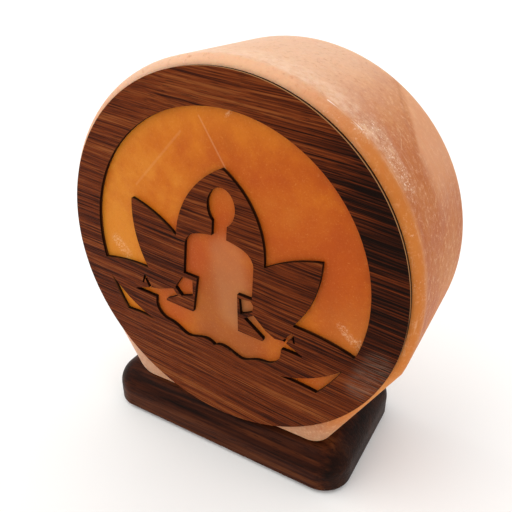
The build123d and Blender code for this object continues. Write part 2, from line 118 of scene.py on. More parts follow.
# %% Start, end and use of a recipe
MM = 1000.0             # coordinates are in metres, and places and patterns in millimetres


def new_material(name):
    """An empty material. Its place vector is in millimetres."""
    material = bpy.data.materials.new(name)
    material.use_nodes = True
    tree = material.node_tree
    tree.nodes.clear()
    place = add_node(tree, "TexCoord", [], out="Object")
    return material, tree, add_node(tree, "VectorMath", [place, (MM, MM, MM)], operation="MULTIPLY")


def finish_surface(tree, colour, roughness, relief=None, depth=0.1, **principled):
    """Ends a recipe with the surface shader. Relief is a height pattern, and depth its full height in mm."""
    inputs = {"Base Color": colour, "Roughness": roughness}
    inputs.update({name.replace("_", " "): value for name, value in principled.items()})
    if relief is not None:
        inputs["Normal"] = add_node(tree, "Bump", {"Height": relief, "Distance": depth / MM})
    add_node(tree, "OutputMaterial", {"Surface": add_node(tree, "BsdfPrincipled", inputs)})


def paint(name, material):
    """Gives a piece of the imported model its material."""
    slots = nodes[name].data.materials
    slots.clear()
    slots.append(material)
    print("painted", name, "with", material.name)


print("the lamp is", round((cad_box[1].z - cad_box[0].z) * MM, 1), "mm high in pattern coordinates")

# %% [markdown]
# ## The camera
#
# The camera stands in front of the lamp, to its right and above it, and looks down at it. A 39 mm lens
# from less than 30 cm away gives the strong perspective of a close picture: the front leans, and the
# block seems to grow towards its top. A camera is often aimed at a target. This one was fitted to the
# outline of the lamp, which gives its place and its axes, so they are set directly.

# %% Camera
camera_place = Vector((0.12206, -0.21401, 0.22947))
camera_right = Vector((0.862631, 0.505833, 0.000115))
camera_up = Vector((-0.237898, 0.405502, 0.882595))
camera_back = camera_right.cross(camera_up)

camera_data = bpy.data.cameras.new("camera")
camera_data.lens = 38.95
camera_data.sensor_width = 36.0
camera_data.clip_start = 0.01
camera = bpy.data.objects.new("camera", camera_data)
bpy.context.scene.collection.objects.link(camera)
axes = Matrix((camera_right, camera_up, camera_back)).transposed().to_4x4()
camera.matrix_world = Matrix.Translation(camera_place) @ axes
bpy.context.scene.camera = camera
middle_of_lamp = (cad_box[0] + cad_box[1]) / 2
print("the camera is", round((camera_place - middle_of_lamp).length * MM), "mm from the lamp's middle")

# %% [markdown]
# ## The table
#
# The lamp stands on a plain white table that runs on to the horizon. A curved sheet of paper, as studios
# use it, would show its fold from the other sides, so one large flat square is the better table. It is
# painted matt: it throws light back up at the lamp, as in a light tent, and mirrors nothing.

# %% Table
def make_floor(size):
    """One large square at table height. It is part of the stage, not of the lamp."""
    mesh = bpy.data.meshes.new("floor")
    half = size / 2
    corners = [(-half, -half, 0), (half, -half, 0), (half, half, 0), (-half, half, 0)]
    mesh.from_pydata(corners, [], [(0, 1, 2, 3)])
    table = bpy.data.objects.new("floor", mesh)
    bpy.context.scene.collection.objects.link(table)
    material, tree, _ = new_material("white_matt_table")
    finish_surface(tree, "#FBFBFA", 0.9, Specular_IOR_Level=0.05)
    mesh.materials.append(material)
    print("the table is", size, "metres wide")


make_floor(40.0)

# %% [markdown]
# ## The light
#
# A broad sun, as soft as a large window, comes from the upper left, and the white room fills the
# shadows. An area light would do as well, but its light fades with distance, so its size, place and
# strength all hang together. A sun needs only a direction, and shines alike on a lamp of any size. The
# Standard view keeps plain colours true.

# %% Light
bpy.context.scene.view_settings.view_transform = "Standard"

sun_data = bpy.data.lights.new("window_light", "SUN")
sun_data.angle = radians(60)        # how wide it looks from the lamp
sun_data.energy = 0.85
sun_data.color = linear("#FFFCF6")[:3]
sun = bpy.data.objects.new("window_light", sun_data)
bpy.context.scene.collection.objects.link(sun)
towards_window = Vector((-0.60, -0.38, 0.85))
sun.rotation_mode = "QUATERNION"
sun.rotation_quaternion = towards_window.to_track_quat("Z", "Y")

room = bpy.data.worlds.new("white_room")
room.use_nodes = True
background = room.node_tree.nodes["Background"]
background.inputs["Color"].default_value = linear("#FFFFFF")
background.inputs["Strength"].default_value = 1.0
bpy.context.scene.world = room

# %% [markdown]
# ## Layers of colour
#
# Most finishes here are a ground colour, and stains that lie over it in some places only. A stain could
# be a mask painted by hand. But its place is easily said in words, such as low down and to the right, so
# one function turns such words into a share, as a chain of smooth limits. A second one lays a colour over
# what is below it, inside those limits. A Mix node has inputs for every kind of data: 2 and 3 are its
# numbers, and 6 and 7 its colours, which come out at output 2.

# %% Layers
def where(tree, *limits, share=1.0):
    """A share that is kept only inside every limit. A limit is (value, low, high).

    It runs smoothly from 0 at low to 1 at high, and high may be the lower one.
    """
    for value, low, high in limits:
        # each limit rises to the share of the limits before it, so that they multiply
        span = {"Value": value, "From Min": low, "From Max": high, "To Max": share}
        share = add_node(tree, "MapRange", span, interpolation_type="SMOOTHSTEP")
    return share


def lay_over(tree, below, above, *limits, share=1.0):
    """Lays one colour over another inside every limit."""
    inside = where(tree, *limits, share=share)
    return add_node(tree, "Mix", {0: inside, 6: below, 7: above}, out=2, data_type="RGBA")


print("made", where.__name__, "and", lay_over.__name__)

# %% [markdown]
# ## Rock salt
#
# The block is rock salt: a cloudy, orange to pink crystal, sawn, ground round and then sanded smooth. A
# picture of salt wrapped round it would show seams. Noise that fills space runs right through the block,
# as its clouds do, and so goes on over every edge. Noise in four dimensions has a fourth coordinate, W,
# and the patterns that use it each have a W of their own, so that their spots don't line up.
#
# The clouds come first: slow ones 42 mm across, with patches 10 mm across in them. They are one tone
# about 0.5, from which the colours and the roughness of the block are read.

# %% Clouds in the crystal
def crystal_clouds(tree, place):
    """Slow clouds 42 mm across and patches 10 mm across, as one value about 0.5."""
    clouds = add_node(tree, "TexNoise", {"Vector": place, "Scale": 1 / 42, "Detail": 3.0, "Distortion": 0.5})
    patches = add_node(tree, "TexNoise", {"Vector": place, "W": 7.0, "Scale": 1 / 10, "Detail": 5.0,
                                          "Roughness": 0.6}, noise_dimensions="4D")
    return add_node(tree, "Mix", {0: 0.35, 2: clouds, 3: patches})


salt_low, salt_high = (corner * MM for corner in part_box("salt_block"))
print("about", round((salt_high.x - salt_low.x) / 42, 1), "clouds lie across the block")

# %% [markdown]
# ### Marks along a line
#
# Scratches, veins and bruises follow lines on the block. They could be drawn on a texture, but a line is
# already known by its two ends, and the distance from it says how strong its mark is. This also holds for
# wide soft clouds, as a line with a large width.

# %% Marks along a line
def near_line(tree, place, start, end, width):
    """1 on the straight line between two points and 0 at a width from it, in millimetres."""
    start, end = Vector(start), Vector(end)
    along = end - start
    from_start = add_node(tree, "VectorMath", [place, start], operation="SUBTRACT")
    share = add_node(tree, "VectorMath", [from_start, along / along.length_squared], out="Value",
                     operation="DOT_PRODUCT")
    share = add_node(tree, "Clamp", [share])
    nearest = add_node(tree, "VectorMath", {0: along, "Scale": share}, operation="SCALE")
    gap = add_node(tree, "VectorMath", [from_start, nearest], out="Value", operation="DISTANCE")
    return where(tree, (gap, width, width * 0.15))


def near_path(tree, place, points, width):
    """The same along a bent line through several points."""
    nearest = near_line(tree, place, points[0], points[1], width)
    for start, end in zip(points[1:], points[2:]):
        section = near_line(tree, place, start, end, width)
        nearest = add_node(tree, "Math", [nearest, section], operation="MAXIMUM")
    return nearest


print("made", near_line.__name__, "and", near_path.__name__)

# %% [markdown]
# ### Bruises and healed cracks
#
# Where the crystal was bruised, it is broken up into swarms of white dots under a millimetre across.
# Cracks that healed while it grew are thin curved lines in it. As geometry, they would take thousands
# of faces for marks almost without depth. Noise gives both: dots are its peaks, and a crack lies where
# a slow noise passes its middle value.

# %% Bruises and healed cracks
def crush_marks(tree, place, swarm, size=0.8):
    """White dots where the crystal was bruised, only inside a swarm."""
    dots = add_node(tree, "TexNoise", {"Vector": place, "W": 5.0, "Scale": 1 / size, "Detail": 2.0,
                                       "Roughness": 0.7}, noise_dimensions="4D")
    return where(tree, (dots, 0.56, 0.70), share=swarm)


def healed_cracks(tree, place):
    """Thin curved lines where a slow noise passes its middle value, broken here and there."""
    slow = add_node(tree, "TexNoise", {"Vector": place, "W": 3.0, "Scale": 1 / 50, "Detail": 1.5,
                                       "Distortion": 0.3}, noise_dimensions="4D")
    off_middle = add_node(tree, "Math", [slow, 0.5], operation="SUBTRACT")
    off_middle = add_node(tree, "Math", [off_middle], operation="ABSOLUTE")
    broken = add_node(tree, "TexNoise", {"Vector": place, "W": 13.0, "Scale": 1 / 20}, noise_dimensions="4D")
    return where(tree, (off_middle, 0.005, 0.0), (broken, 0.52, 0.62))


print("made", crush_marks.__name__, "and", healed_cracks.__name__)

# %% [markdown]
# ### Stains, painted light and painted shade of the skin
#
# The sanded skin runs from tan to peach, and is greyer at the foot. Over it lies painted light, which makes
# it a pale peach at the crown and the left, where the light falls, and painted shade, which darkens it at
# the right. One colour ramp over the clouds would be the same on all sides, so stains follow it, each with
# its share and its limits. The fine mottle over them is made of crystal grains about 2 mm across.

# %% Stains and painted light of the skin
def skin_stains_and_painted_light(tree, place, tone):
    """Peach to tan crystal with stains, painted light at the crown and the left, painted shade at the right,
    and a fine mottle.
    """
    x, y, z = (add_node(tree, "SeparateXYZ", [place], out=axis) for axis in "XYZ")
    skin = add_node(tree, "ValToRGB", [tone], stops=[
        (0.30, "#A84E14"), (0.44, "#BE6420"), (0.56, "#CC7A34"), (0.70, "#DA9658")])
    for stain, share, limits in (
            # painted light: the crown, the left of the crown and the left side are paler where the light
            # falls; painted shade: the right side is darker
            ("#E8BA98", 0.85, [(z, 140, 196), (x, 88, 20)]),            # the crown
            ("#EFD8C8", 0.50, [(x, 10, -60), (z, 150, 190)]),           # the left of the crown
            ("#EBD9CD", 0.80, [(x, -30, -86), (tone, 0.30, 0.47)]),     # the left side, less in dark clouds
            ("#AE8A70", 0.70, [(z, 56, 30)]),                           # the foot
            ("#96480C", 0.52, [(x, 35, 86), (z, 70, 125)]),             # the right side
            ("#E6B592", 0.60, [(y, 24, 37)])):                          # the back
        skin = lay_over(tree, skin, stain, *limits, share=share)
    mottle = add_node(tree, "TexNoise", {"Vector": place, "W": 4.0, "Scale": 1 / 2.2, "Detail": 6.0,
                                         "Roughness": 0.8}, noise_dimensions="4D")
    skin = lay_over(tree, skin, "#EEC298", (mottle, 0.50, 0.68), share=0.42)
    return lay_over(tree, skin, "#A85214", (mottle, 0.48, 0.32), share=0.45)


print("made", skin_stains_and_painted_light.__name__)

# %% [markdown]
# ### The flat place and the worn edge, with painted light
#
# The block was shaped by hand. At the back of the upper right a flat place catches more light, behind a
# darker line. It could be cut into the solid, but it is so shallow that painted light, a paler tone, shows
# it.
# Beside the plate runs an orange strip, and behind that the front edge is worn whitish at the crown,
# where a painted highlight lies on the wear. A band with even edges would look painted, so a noise with
# patches 5 mm across breaks up the wear and the highlight.

# %% Flat place and worn edge, with painted light
def flat_place_painted_light(tree, place, skin):
    """Painted light on a flat place at the back of the upper right, with a darker line before it."""
    x, y, z = (add_node(tree, "SeparateXYZ", [place], out=axis) for axis in "XYZ")
    edge = [(30, 46, 196), (51, 26.3, 183.2), (61.5, 6.5, 174.6), (70.7, -4.5, 164.4), (76, -1.7, 156.7)]
    skin = lay_over(tree, skin, "#B0683C", (near_path(tree, place, edge, 1.6), 0, 1), share=0.3)
    slant = 1.563           # the line before it runs slantwise over X and Y
    beyond = add_node(tree, "Math", [x, slant, y], operation="MULTIPLY_ADD")
    limits = [(beyond, 106.5, 112), (y, 36.4, 30), (y, -9, 4), (z, 128, 162)]
    # painted light: the flat place is paler where it catches more light
    return lay_over(tree, skin, "#E2A478", *limits, share=0.6)


def worn_edge_and_highlight(tree, place, skin, wear):
    """An orange strip beside the plate, then a whitish band of wear and painted highlight that fades out
    below the crown.
    """
    y, z = (add_node(tree, "SeparateXYZ", [place], out=axis) for axis in "YZ")
    skin = lay_over(tree, skin, "#CE8038", (y, -28.5, -33), (z, 205, 170), (z, 34, 62), share=0.55)
    # the whitish band is partly wear and partly a painted highlight on the lit front edge at the crown
    limits = [(y, -35, -30.5), (y, -12, -28), (z, 156, 186), (wear, 0.36, 0.64)]
    return lay_over(tree, skin, "#F5D3B6", *limits, share=0.5)


print("made", flat_place_painted_light.__name__, "and", worn_edge_and_highlight.__name__)

# %% [markdown]
# ### Bruises and fine lines of the skin
#
# The upper right edge was knocked, so a swarm of white crush marks follows it, and a few loose ones lie
# elsewhere. A bright scratch lies on the same edge, above them. Last come the lines that coarse paper
# left round the block. Its grains are about 0.4 mm across, which is too fine to show in the render, so
# the lines are drawn 0.8 mm apart and 11 mm long: noise squeezed along Y and stretched along X and Z.

# %% Bruises and fine lines
def bruises(tree, place, skin, wear):
    """Crushed crystal along the upper right edge, and loose marks elsewhere."""
    edge = [(58, -30, 178), (60, -22, 176), (67.6, -26.4, 168.1), (75.2, -25.4, 158)]
    bruised = near_path(tree, place, edge, 8)
    skin = lay_over(tree, skin, "#E5BA94", (bruised, 0, 1), (wear, 0.36, 0.66), share=0.4)
    loose = add_node(tree, "TexNoise", {"Vector": place, "W": 31.0, "Scale": 1 / 24, "Detail": 2.5},
                     noise_dimensions="4D")
    loose = where(tree, (loose, 0.60, 0.76), share=0.4)
    swarm = add_node(tree, "Math", [bruised, loose], operation="MAXIMUM")
    return lay_over(tree, skin, "#F6DCC6", share=crush_marks(tree, place, swarm))


def fine_lines(tree, place, skin):
    """One bright scratch, the healed cracks and the lines of coarse paper."""
    scratch = near_line(tree, place, (45, -33.4, 187), (57.8, -31.8, 178.0), 0.45)
    skin = lay_over(tree, skin, "#FFF4E8", (scratch, 0, 1), share=0.7)
    skin = lay_over(tree, skin, "#EDCBA8", (healed_cracks(tree, place), 0, 1), share=0.3)
    stretched = add_node(tree, "VectorMath", [place, (0.09, 1.3, 0.09)], operation="MULTIPLY")
    sanding = add_node(tree, "TexNoise", {"Vector": stretched, "Scale": 1.0, "Detail": 3.0, "Roughness": 0.6})
    return lay_over(tree, skin, "#ECC49E", (sanding, 0.55, 0.75), share=0.24)


print("made", bruises.__name__, "and", fine_lines.__name__)

# %% [markdown]
# ### The whole skin
#
# Now the layers go over each other in the order in which they came about: the crystal first, with its
# painted light and shade, then the shaping, with painted light on the flat place and the worn edge, the
# knocks and the paper. They could all stand in one long recipe. As functions of their own, each can be
# changed or left out without a look at the others.

# %% Whole skin
def salt_skin(tree, place, tone):
    """Stained crystal with painted light and shade, a flat place and a worn edge with painted light, bruises
    and fine lines.
    """
    wear = add_node(tree, "TexNoise", {"Vector": place, "W": 2.0, "Scale": 1 / 5, "Detail": 6.0,
                                       "Roughness": 0.8}, noise_dimensions="4D")
    skin = skin_stains_and_painted_light(tree, place, tone)
    skin = flat_place_painted_light(tree, place, skin)
    skin = worn_edge_and_highlight(tree, place, skin, wear)
    skin = bruises(tree, place, skin, wear)
    return fine_lines(tree, place, skin)


print("made", salt_skin.__name__)

# %% [markdown]
# ### The front of the block
#
# Seen through the openings of the plate, the flat front is a much deeper orange than the rest: painted
# light makes it lighter at the left, so that it is redder at the right, and it is brown low in the middle.
# It could be a second material on the same block, but then its border would have to follow the faces. A
# second colour in the same recipe can change over anywhere.

# %% Stains and painted light of the front
def on_front(x, z):
    """A place on the flat front of the block."""
    return Vector((x, salt_low.y, z))


def front_stains(tree, place, tone):
    """Deep orange crystal with painted light at the left, so redder at the right, with three soft clouds."""
    x, z = (add_node(tree, "SeparateXYZ", [place], out=axis) for axis in "XZ")
    # painted light: the tone is lighter towards the left, where the light falls
    painted_light_left = where(tree, (x, 10, -70), share=0.12)
    tone = add_node(tree, "Math", [tone, painted_light_left], operation="ADD")
    front = add_node(tree, "ValToRGB", [tone], stops=[
        (0.34, "#A04204"), (0.46, "#B04E06"), (0.56, "#C0640E"), (0.68, "#CE7C20")])
    dark_cloud = near_line(tree, place, on_front(12, 140), on_front(44, 128), 34)
    red_cloud = near_line(tree, place, on_front(-18, 116), on_front(-31, 79), 20)
    for stain, share, limits in (
            ("#CF7A1C", 0.50, [(z, 150, 182), (x, 60, 10)]),                    # yellower at the top
            ("#BC6C2A", 0.60, [(z, 122, 92), (x, 35, 65)]),                     # duller low at the right
            ("#AC480E", 0.60, [(dark_cloud, 0, 1)]),
            ("#985426", 0.75, [(z, 135, 85), (x, 40, 8), (x, -30, -6)]),        # brown low in the middle
            ("#AC4A16", 0.85, [(red_cloud, 0, 1)])):
        front = lay_over(tree, front, stain, *limits, share=share)
    return front


print("the flat front lies at y", round(salt_low.y, 1), "mm")

# %% [markdown]
# ### Specks, veins and scuffs of the front
#
# The front has light and dark specks two thirds of a millimetre across. Two long pale veins and one
# broad faint band run down it, and there are a few scuffs where the saw's marks weren't sanded out. A
# scuff that is only a line looks drawn, so the specks break it up.

# %% Marks of the front
def front_marks(tree, place, front):
    """Fine specks, pale veins and broken scuffs."""
    specks = add_node(tree, "TexNoise", {"Vector": place, "W": 9.0, "Scale": 1.5, "Detail": 3.0,
                                         "Roughness": 0.8}, noise_dimensions="4D")
    front = lay_over(tree, front, "#DE9850", (specks, 0.52, 0.78), share=0.34)
    front = lay_over(tree, front, "#963C0A", (specks, 0.46, 0.28), share=0.3)
    veins = ((on_front(-8.3, 175.6), on_front(4.3, 155), 0.6, 0.2),
             (on_front(-18, 168), on_front(-45, 140), 0.9, 0.09),
             (on_front(3, 116), on_front(7, 88), 15, 0.13))
    for start, end, width, share in veins:
        vein = near_line(tree, place, start, end, width)
        front = lay_over(tree, front, "#E2B583", (vein, 0, 1), share=share)
    scuffs = ((on_front(4.6, 177), on_front(7.6, 180), 1.3),
              (on_front(-62, 108), on_front(-56, 102), 5),
              (on_front(58, 98), on_front(64, 92), 3),
              (on_front(66, 93), on_front(69, 86), 3))
    for start, end, width in scuffs:
        scuff = near_line(tree, place, start, end, width)
        front = lay_over(tree, front, "#EBC8A0", (scuff, 0, 1), (specks, 0.45, 0.62), share=0.36)
    return front


print("made", front_marks.__name__)

# %% [markdown]
# ### The whole block
#
# The two finishes meet on the flat front, just inside the plate's outer edge, where the plate hides the
# change. Sanded salt has a fine grain and the slow waves of the hand that held it. It is dull rather
# than glossy, and light goes a little way into it and comes back warmer. A plain opaque surface would
# look like painted plaster, so its shader scatters light below the surface, red the furthest. The
# refractive index of rock salt is 1.544.

# %% Rock salt
plate_low, plate_high = (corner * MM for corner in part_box("fretwork_plate"))
plate_centre = (plate_low + plate_high) / 2
print("the plate's middle is", round(plate_centre.z, 1), "mm up")


def rock_salt():
    """Joins the skin and the front, and scatters light below the surface."""
    material, tree, place = new_material("rock_salt_sanded")
    tone = crystal_clouds(tree, place)
    skin = salt_skin(tree, place, tone)
    front = front_marks(tree, place, front_stains(tree, place, tone))
    y = add_node(tree, "SeparateXYZ", [place], out="Y")
    front_middle = on_front(plate_centre.x, plate_centre.z)
    from_middle = add_node(tree, "VectorMath", [place, front_middle], out="Value", operation="DISTANCE")
    colour = lay_over(tree, skin, front, (y, salt_low.y + 0.6, salt_low.y + 0.2), (from_middle, 84, 78))
    # grains 0.7 mm across from the paper, and waves 9 mm across from the hand
    grain = add_node(tree, "TexNoise", {"Vector": place, "Scale": 1.4, "Detail": 4.0, "Roughness": 0.65})
    waves = add_node(tree, "TexNoise", {"Vector": place, "Scale": 1 / 9, "Detail": 2.0})
    relief = add_node(tree, "Math", [grain, 0.2, waves], operation="MULTIPLY_ADD")
    rough = add_node(tree, "Mix", {0: tone, 2: 0.38, 3: 0.62})
    finish_surface(
        tree, colour, rough, relief, depth=0.7, IOR=1.544, Specular_IOR_Level=0.11, Subsurface_Weight=0.3,
        Subsurface_Radius=(1.0, 0.42, 0.2), Subsurface_Scale=4 / MM)
    return material


paint("salt_block", rock_salt())

# %% [markdown]
# ## Straight grain
#
# Both boards are of straight-grained hardwood: dark lines many times longer than they are wide, wider
# bands of light and dark, and short open pores. Rings from a wave texture come out too even. Noise that
# is stretched along the board gives lines that start and end by themselves, and a slow sway bends them
# a little, as growth does.

# %% Straight grain
def straight_grain(tree, place, tilt, line):
    """Grain along X, turned by a tilt in degrees. Gives the lines, the wider bands and the pores."""
    turned = add_node(tree, "VectorRotate", {"Vector": place, "Axis": (0, 1, 0), "Angle": radians(tilt)},
                      rotation_type="AXIS_ANGLE")
    long_way = add_node(tree, "VectorMath", [turned, (0.02, 0.3, 0.02)], operation="MULTIPLY")
    sway = add_node(tree, "TexNoise", {"Vector": long_way, "Scale": 1.0, "Detail": 2.0}, out="Color")
    swayed = add_node(tree, "VectorMath", [sway, (2.2, 2.2, 2.2), turned], operation="MULTIPLY_ADD")
    patterns = []
    for seed, width, length, detail in (
            (1, line, 60, 3.0),             # lines
            (2, 6 * line, 160, 2.0),        # bands
            (3, 0.35 * line, 9, 1.0)):      # pores
        squeeze = (1 / length, 1 / width, 1 / width)
        stretched = add_node(tree, "VectorMath", [swayed, squeeze], operation="MULTIPLY")
        look = {"Vector": stretched, "W": seed, "Scale": 1.0, "Detail": detail, "Roughness": 0.6}
        patterns.append(add_node(tree, "TexNoise", look, noise_dimensions="4D"))
    return patterns


print("made", straight_grain.__name__)

# %% [markdown]
# ## The hardwood plate
#
# The plate is a 2 mm sheet of rosewood-brown hardwood. Its grain runs almost from side to side, with
# lines 0.65 mm wide. It is darker at the right and lighter at the top and the foot, partly in the wood and
# partly as painted shade and painted light. It is rubbed with oil, so it has hardly any gloss, and it is
# scuffed grey at the lower right. A picture of veneer would fix all that once and for all.
# Here one ramp over the grain gives the colours, and the stains go over it as they do on the salt.

# %% Figure of the plate
def rosewood_figure(tree, place):
    """Dark lines and pores on red brown, darker at the right and lighter at the top and the foot, partly in
    the wood and partly as painted shade and light. Gives the colour, the lines and the pores.
    """
    x, z = (add_node(tree, "SeparateXYZ", [place], out=axis) for axis in "XZ")
    lines, bands, pores = straight_grain(tree, place, tilt=-6.0, line=0.65)
    tone = add_node(tree, "Mix", {0: 0.3, 2: lines, 3: bands})
    # darker at the right, lighter at the foot and the top: partly the wood's own tone, partly painted shade
    # and painted light
    darker_right_wood_and_shade = where(tree, (x, 34, 74), (z, 66, 104), share=0.1)
    tone = add_node(tree, "Math", [tone, darker_right_wood_and_shade], operation="SUBTRACT")
    lighter_foot_wood_and_light = where(tree, (z, 82, 50), share=0.03)
    lighter_top_wood_and_light = where(tree, (z, 125, 165), (x, 40, -10), share=0.03)
    for lighter in (lighter_foot_wood_and_light, lighter_top_wood_and_light):
        tone = add_node(tree, "Math", [tone, lighter], operation="ADD")
    colour = add_node(tree, "ValToRGB", [tone], stops=[
        (0.37, "#120400"), (0.46, "#441804"), (0.55, "#6A2C0C"), (0.66, "#86481F")])
    colour = lay_over(tree, colour, "#0D0503", (pores, 0.58, 0.68), share=0.7)
    rubbed = near_line(tree, place, (76, plate_low.y, 86), (69, plate_low.y, 72), 10)
    colour = lay_over(tree, colour, "#9C8674", (rubbed, 0, 1), (pores, 0.42, 0.62), share=0.24)
    return colour, lines, pores


print("the plate is", round(plate_high.y - plate_low.y, 2), "mm thick")

# %% [markdown]
# ### Cut walls
#
# A laser cut the plate, so its cut walls are burnt almost black. Sandpaper took off their sharp edges
# and bared a fine light line along them, and a painted highlight lies on it, brightest on the outer edge.
# The walls could have a material of their own, but the direction in which a surface faces already tells
# them apart: it is 1 on the flat faces and 0 on the walls, and the sanded edges lie between.

# %% Laser-cut rosewood
def burnt_walls(tree, place, colour):
    """Black walls, and bare wood with a painted highlight on the rounded edges, brightest on the outer edge.
    """
    facing = add_node(tree, "SeparateXYZ", [add_node(tree, "TexCoord", [], out="Normal")], out="Y")
    facing = add_node(tree, "Math", [facing], operation="ABSOLUTE")
    colour = lay_over(tree, colour, "#1C0B04", (facing, 0.6, 0.3))
    # bare wood on the edges between face and wall, with a painted highlight on it
    sanded_edge_and_highlight = where(tree, (facing, 0.15, 0.4), (facing, 0.99, 0.94))
    colour = lay_over(tree, colour, "#7A4A28", (sanded_edge_and_highlight, 0, 1), share=0.4)
    # painted highlight: the outer edge is brightest
    from_middle = add_node(tree, "VectorMath", [place, plate_centre], out="Value", operation="DISTANCE")
    return lay_over(tree, colour, "#C8925E", (sanded_edge_and_highlight, 0, 1), (from_middle, 76, 82), share=0.7)


def laser_cut_rosewood():
    """Oiled rosewood with burnt cut walls."""
    material, tree, place = new_material("rosewood_laser_cut")
    colour, lines, pores = rosewood_figure(tree, place)
    relief = add_node(tree, "Math", [pores, -0.8, lines], operation="MULTIPLY_ADD")
    rough = add_node(tree, "Mix", {0: lines, 2: 0.62, 3: 0.42})
    finish_surface(tree, burnt_walls(tree, place, colour), rough, relief, depth=0.25, IOR=1.5,
                   Specular_IOR_Level=0.05)
    return material


paint("fretwork_plate", laser_cut_rosewood())

# %% [markdown]
# ### Sanded edges
#
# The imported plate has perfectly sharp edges. A rounding as fine as sandpaper leaves could be cut in the
# solid, but it would multiply the faces of every opening and change nothing in how the pieces fit. A
# Bevel modifier takes off 0.22 mm instead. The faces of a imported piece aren't joined, and Bevel works
# only on joined ones, so a Weld modifier comes first.

# %% Sanded edges of the plate
plate = nodes["fretwork_plate"]
joined = plate.modifiers.new("joined_faces", "WELD")
joined.merge_threshold = 0.005 / MM
softened = plate.modifiers.new("worn_edges", "BEVEL")
softened.width = 0.22 / MM
softened.segments = 1
softened.limit_method = "ANGLE"
softened.angle_limit = radians(50)
print("modifiers on the plate:", [modifier.name for modifier in plate.modifiers])

# %% [markdown]
# ## The base board
#
# The base is a darker board, with a thin satin lacquer that leaves a soft streak of light on its rounded
# edge. Its grain runs along its length, in lines 2.1 mm wide and broad brown and black stripes. The end
# grain at both ends drank more of the lacquer and is nearly black, and painted shade darkens the rounded
# corners beside it. A coat on top of the wood's own surface gives that streak, where a glossier wood would
# shine all over.

# %% Base board
def lacquered_walnut():
    """Brown and black stripes under a thin satin lacquer, with dark end grain and painted shade on the
    rounded corners.
    """
    material, tree, place = new_material("dark_walnut_lacquered")
    lines, bands, pores = straight_grain(tree, place, tilt=0.0, line=2.1)
    tone = add_node(tree, "Mix", {0: 0.5, 2: lines, 3: bands})
    colour = add_node(tree, "ValToRGB", [tone], stops=[
        (0.36, "#160804"), (0.45, "#301308"), (0.54, "#48210E"), (0.66, "#62351A")])
    colour = lay_over(tree, colour, "#080403", (pores, 0.58, 0.68), share=0.6)
    # dark end grain, and painted shade on the rounded corners that face partly along X
    end_grain_and_shade = add_node(tree, "SeparateXYZ", [add_node(tree, "TexCoord", [], out="Normal")], out="X")
    end_grain_and_shade = add_node(tree, "Math", [end_grain_and_shade], operation="ABSOLUTE")
    colour = lay_over(tree, colour, "#140905", (end_grain_and_shade, 0.2, 0.7), share=0.7)
    relief = add_node(tree, "Math", [pores, -0.8, lines], operation="MULTIPLY_ADD")
    rough = add_node(tree, "Mix", {0: lines, 2: 0.5, 3: 0.34})
    finish_surface(tree, colour, rough, relief, depth=0.2, IOR=1.5, Specular_IOR_Level=0.04,
                   Coat_Weight=0.012, Coat_Roughness=0.15, Coat_IOR=1.5)
    return material


paint("base_board", lacquered_walnut())

# %% [markdown]
# ## Metals
#
# The holder, the bulb and the screws are small bought parts. Their metals differ in colour and in how
# they were worked: rolled, pressed, drawn or plated. Marks of that work are under a tenth of a
# millimetre apart, too fine to show in the render, so they are drawn 0.4 mm apart. They change tint,
# roughness and relief together, because one smooth metal looks like plastic.

# %% Metals
def worked_metal(name, colour, roughness, brush=(1, 1, 1), size=0.4):
    """Metal with the faint marks of rolling, drawing or plating. Brush stretches them along an axis."""
    material, tree, place = new_material(name)
    squeeze = tuple(1 / (size * stretch) for stretch in brush)
    along = add_node(tree, "VectorMath", [place, squeeze], operation="MULTIPLY")
    marks = add_node(tree, "TexNoise", {"Vector": along, "Scale": 1.0, "Detail": 3.0})
    tint = lay_over(tree, colour, "#4A4038", (marks, 0.35, 0.75), share=0.3)
    rough = where(tree, (marks, 0.0, 1.0), share=2 * roughness)         # noise lies about 0.5
    finish_surface(tree, tint, rough, marks, depth=0.03, Metallic=1.0)
    return material


brass = worked_metal("brass_rolled", "#C9A35A", 0.28)                   # warm yellow, softly bright
steel = worked_metal("stainless_steel_pressed", "#C4C6C8", 0.26, brush=(20, 1, 1))  # lines along the strip
zinc = worked_metal("zinc_plated_steel", "#BFC2BE", 0.32)               # cold grey with a faint bloom
nickel = worked_metal("nickel_wire_drawn", "#B8B2A8", 0.3, brush=(1, 1, 12))        # lines along the wire
tungsten = worked_metal("tungsten_drawn", "#6E6E72", 0.4)               # dark grey, hardly bright
solder = worked_metal("solder_dull", "#A9ABAD", 0.45, size=0.8)         # pale grey, dull and uneven
print("metals:", [metal.name for metal in (brass, steel, zinc, nickel, tungsten, solder)])

# %% [markdown]
# ## Plastics, rubber and glass
#
# Moulded pieces carry the fine skin of their mould, which is also drawn coarser than it is, 0.35 mm
# apart. Phenolic and black glass are glossy, nylon is half dull, and rubber is so dull that the feet
# hardly show. They differ only in colour, gloss and skin, so one recipe serves them all. The bulb is of
# clear blown glass, which needs its own: light passes through it, so that mostly its bright rim is seen,
# and slow ripples 9 mm apart break up what it mirrors.

# %% Plastics, rubber and glass
def moulded(name, colour, roughness, size=0.35, depth=0.03):
    """Moulded plastic, rubber or glass with the fine skin of its mould."""
    material, tree, place = new_material(name)
    skin = add_node(tree, "TexNoise", {"Vector": place, "Scale": 1 / size, "Detail": 3.0})
    tint = lay_over(tree, colour, "#7A7A7A", (skin, 0.4, 0.8), share=0.1)
    rough = where(tree, (skin, 0.0, 1.0), share=2 * roughness)          # noise lies about 0.5
    finish_surface(tree, tint, rough, skin, depth, IOR=1.5, Specular_IOR_Level=0.3)
    return material


